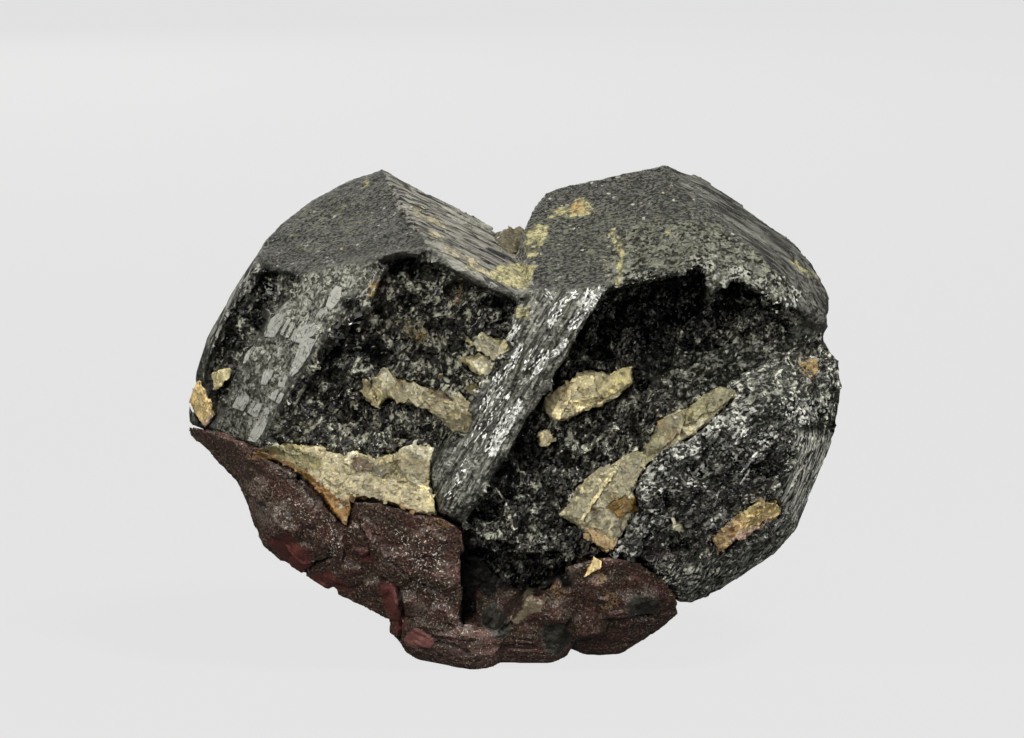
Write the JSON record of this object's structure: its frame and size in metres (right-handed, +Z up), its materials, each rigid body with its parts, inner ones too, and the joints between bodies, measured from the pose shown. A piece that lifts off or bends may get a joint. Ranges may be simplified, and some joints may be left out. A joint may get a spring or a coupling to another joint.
{
  "type": "twinned columbite crystal",
  "caption": "Heart-shaped twin of columbite crystals on a foot of garnet, with flakes of pale mica and feldspar set in its broken front.",
  "frame": {"origin": "middle of the underside of the whole specimen, at the level of the flat foot that it rests on", "axes": "+Z up, +X to the right seen from the broken front, -Y towards the viewer of the front"},
  "size_m": [0.06, 0.0332, 0.045],
  "materials": {
    "columbite": "black, submetallic, dull on the roof faces and glittering where broken",
    "garnet": "dark red-brown, glassy on its faces",
    "mica": "cream, flaky, satin",
    "feldspar": "orange-tan, matt",
    "quartz": "smoky tan, glassy"
  },
  "bodies": {
    "root": {"columbite_twin": "columbite", "garnet": "garnet", "quartz_grain": "quartz", "mica_ledge": "mica", "mica_flake_left": "mica", "mica_flake_upper": "mica", "mica_flake_beneath": "mica", "mica_flake_right": "mica", "mica_vein": "mica", "mica_speck_low": "mica", "feldspar_grain_right": "feldspar", "feldspar_grain_left": "feldspar", "feldspar_chip_left": "feldspar", "feldspar_speck": "feldspar"}
  },
  "joints": []
}
